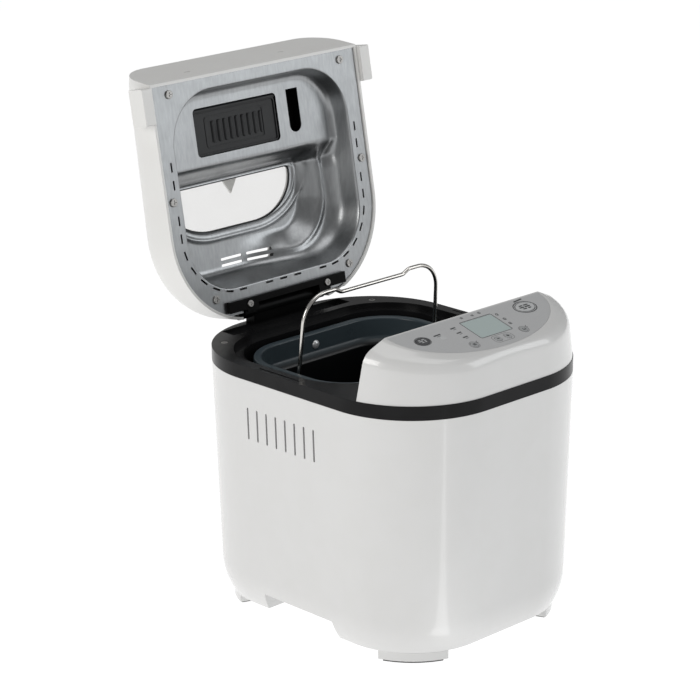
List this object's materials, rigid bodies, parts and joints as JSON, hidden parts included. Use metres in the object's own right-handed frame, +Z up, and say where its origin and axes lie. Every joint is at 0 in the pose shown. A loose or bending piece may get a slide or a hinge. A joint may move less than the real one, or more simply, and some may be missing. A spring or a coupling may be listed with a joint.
{
  "type": "bread machine",
  "caption": "Countertop bread machine: rounded casing with a hinged windowed lid, sloping control panel, and a lift-out pan with a bail and a belt-driven kneading paddle.",
  "frame": {"origin": "middle of the overall box with the lid open, on the surface the machine stands on", "axes": "+Z up, control panel facing -Y, lid hinge towards +Y, +X to the right of someone standing at the control panel"},
  "size_m": [0.2686, 0.363, 0.462],
  "materials": {
    "white_shell": "gloss white moulded plastic",
    "black_collar": "semi-gloss black",
    "black_plastic": "matt black",
    "black_rubber": "matt",
    "lid_aluminium": "satin pressed sheet",
    "oven_steel": "dull",
    "bright_steel": "bright",
    "screw_steel": "plated",
    "pan_coating": "satin non-stick coating",
    "cast_alloy": "cast",
    "bronze": "sintered",
    "silver_panel": "satin silver",
    "grey_display": "gloss",
    "dark_key": "satin",
    "grey_key": "satin",
    "pale_key": "satin",
    "clear_pane": "clear",
    "grey_silicone": "matt",
    "green_board": "laminate",
    "motor_steel": "enamel",
    "nylon": "natural nylon"
  },
  "bodies": {
    "casing": {"outer_shell": "white_shell", "base_plate": "white_shell", "feet": "white_shell", "foot_pads": "black_rubber", "collar": "black_collar", "collar_screws": "screw_steel", "cord_gland": "black_rubber", "oven_liner": "oven_steel", "heating_element": "motor_steel", "element_clips": "oven_steel", "temperature_probe": "oven_steel", "pan_clips": "oven_steel", "drive_bearing": "bronze", "motor_bracket": "oven_steel", "bracket_screws": "screw_steel", "drive_belt": "black_rubber", "motor_frame": "motor_steel", "motor_stator": "bronze", "power_board": "green_board", "control_housing": "white_shell", "panel_overlay": "silver_panel", "lcd_window": "grey_display", "lcd_module": "black_plastic", "indicator_lens": "pale_key", "control_board": "green_board", "hinge_block": "black_plastic"},
    "lid": {"lid_outer": "white_shell", "lid_liner": "lid_aluminium", "lid_screws": "screw_steel", "window_pane": "clear_pane", "window_gasket": "grey_silicone", "hopper": "black_plastic", "flap_pin": "screw_steel", "hinge_plate": "black_plastic", "hinge_screws": "screw_steel", "hinge_pin": "screw_steel"},
    "hopper_flap_body": {"hopper_flap": "black_plastic"},
    "hopper_cover_body": {"hopper_cover": "black_plastic"},
    "pan": {"bread_pan": "pan_coating", "pan_rivets": "screw_steel", "pan_foot_ring": "cast_alloy", "pan_bearing": "cast_alloy", "shaft_seal": "black_rubber"},
    "bail_body": {"bail": "bright_steel"},
    "paddle_body": {"pan_spindle": "screw_steel", "pan_dog": "cast_alloy", "circlip": "screw_steel", "paddle": "pan_coating"},
    "drive": {"drive_shaft": "screw_steel", "drive_dog": "cast_alloy", "drive_pulley": "nylon"},
    "rotor": {"motor_rotor": "screw_steel", "motor_pulley": "nylon", "cooling_fan": "nylon"},
    "menu_key_body": {"menu_key": "grey_key"},
    "minus_key_body": {"minus_key": "grey_key"},
    "plus_key_body": {"plus_key": "grey_key"},
    "crust_key_body": {"crust_key": "grey_key"},
    "start_key_body": {"start_key": "dark_key"},
    "stop_key_body": {"stop_key": "pale_key"}
  },
  "joints": [
    {"name": "lid_hinge", "type": "hinge", "parent": "casing", "child": "lid", "pos_m": [0, 0.10798, 0.2465], "axis": [-1, 0, 0], "range_deg": [-100, 0]},
    {"name": "pan_lift", "type": "slide", "parent": "casing", "child": "pan", "axis": [0, 0, 1], "range_m": [0, 0.2]},
    {"name": "bail_hinge", "type": "hinge", "parent": "pan", "child": "bail_body", "pos_m": [0, -0.00452, 0.2155], "axis": [-1, 0, 0], "range_deg": [-68.23, 0]},
    {"name": "drive_spin", "type": "hinge", "parent": "casing", "child": "drive", "pos_m": [0, -0.00452, 0.0175], "axis": [0, 0, 1], "continuous": true},
    {"name": "motor_spin", "type": "hinge", "parent": "casing", "child": "rotor", "pos_m": [0, -0.13352, 0.0175], "axis": [0, 0, 1], "continuous": true},
    {"name": "paddle_spin", "type": "hinge", "parent": "pan", "child": "paddle_body", "pos_m": [0, -0.00452, 0.057], "axis": [0, 0, 1], "continuous": true},
    {"name": "hopper_flap_hinge", "type": "hinge", "parent": "lid", "child": "hopper_flap_body", "pos_m": [0, 0.15116, 0.42288], "axis": [-1, 0, 0], "range_deg": [0, 70]},
    {"name": "hopper_cover_hinge", "type": "hinge", "parent": "lid", "child": "hopper_cover_body", "pos_m": [0, 0.17888, 0.44824], "axis": [1, 0, 0], "range_deg": [0, 90]},
    {"name": "menu_key_press", "type": "slide", "parent": "casing", "child": "menu_key_body", "axis": [0, 0.2696, -0.963], "range_m": [0, 0.0006], "stiffness_N_per_m": 400},
    {"name": "minus_key_press", "type": "slide", "parent": "casing", "child": "minus_key_body", "axis": [0, 0.2696, -0.963], "range_m": [0, 0.0006], "stiffness_N_per_m": 400},
    {"name": "plus_key_press", "type": "slide", "parent": "casing", "child": "plus_key_body", "axis": [0, 0.2696, -0.963], "range_m": [0, 0.0006], "stiffness_N_per_m": 400},
    {"name": "crust_key_press", "type": "slide", "parent": "casing", "child": "crust_key_body", "axis": [0, 0.2696, -0.963], "range_m": [0, 0.0006], "stiffness_N_per_m": 400},
    {"name": "start_key_press", "type": "slide", "parent": "casing", "child": "start_key_body", "axis": [0, 0.2696, -0.963], "range_m": [0, 0.0006], "stiffness_N_per_m": 400},
    {"name": "stop_key_press", "type": "slide", "parent": "casing", "child": "stop_key_body", "axis": [0, 0.2696, -0.963], "range_m": [0, 0.0006], "stiffness_N_per_m": 400}
  ],
  "couplings": [
    {"joint": "bail_hinge", "follows": "lid_hinge", "ratio": 0.6822},
    {"joint": "paddle_spin", "follows": "drive_spin", "ratio": 1},
    {"joint": "motor_spin", "follows": "drive_spin", "ratio": 4.6158}
  ]
}
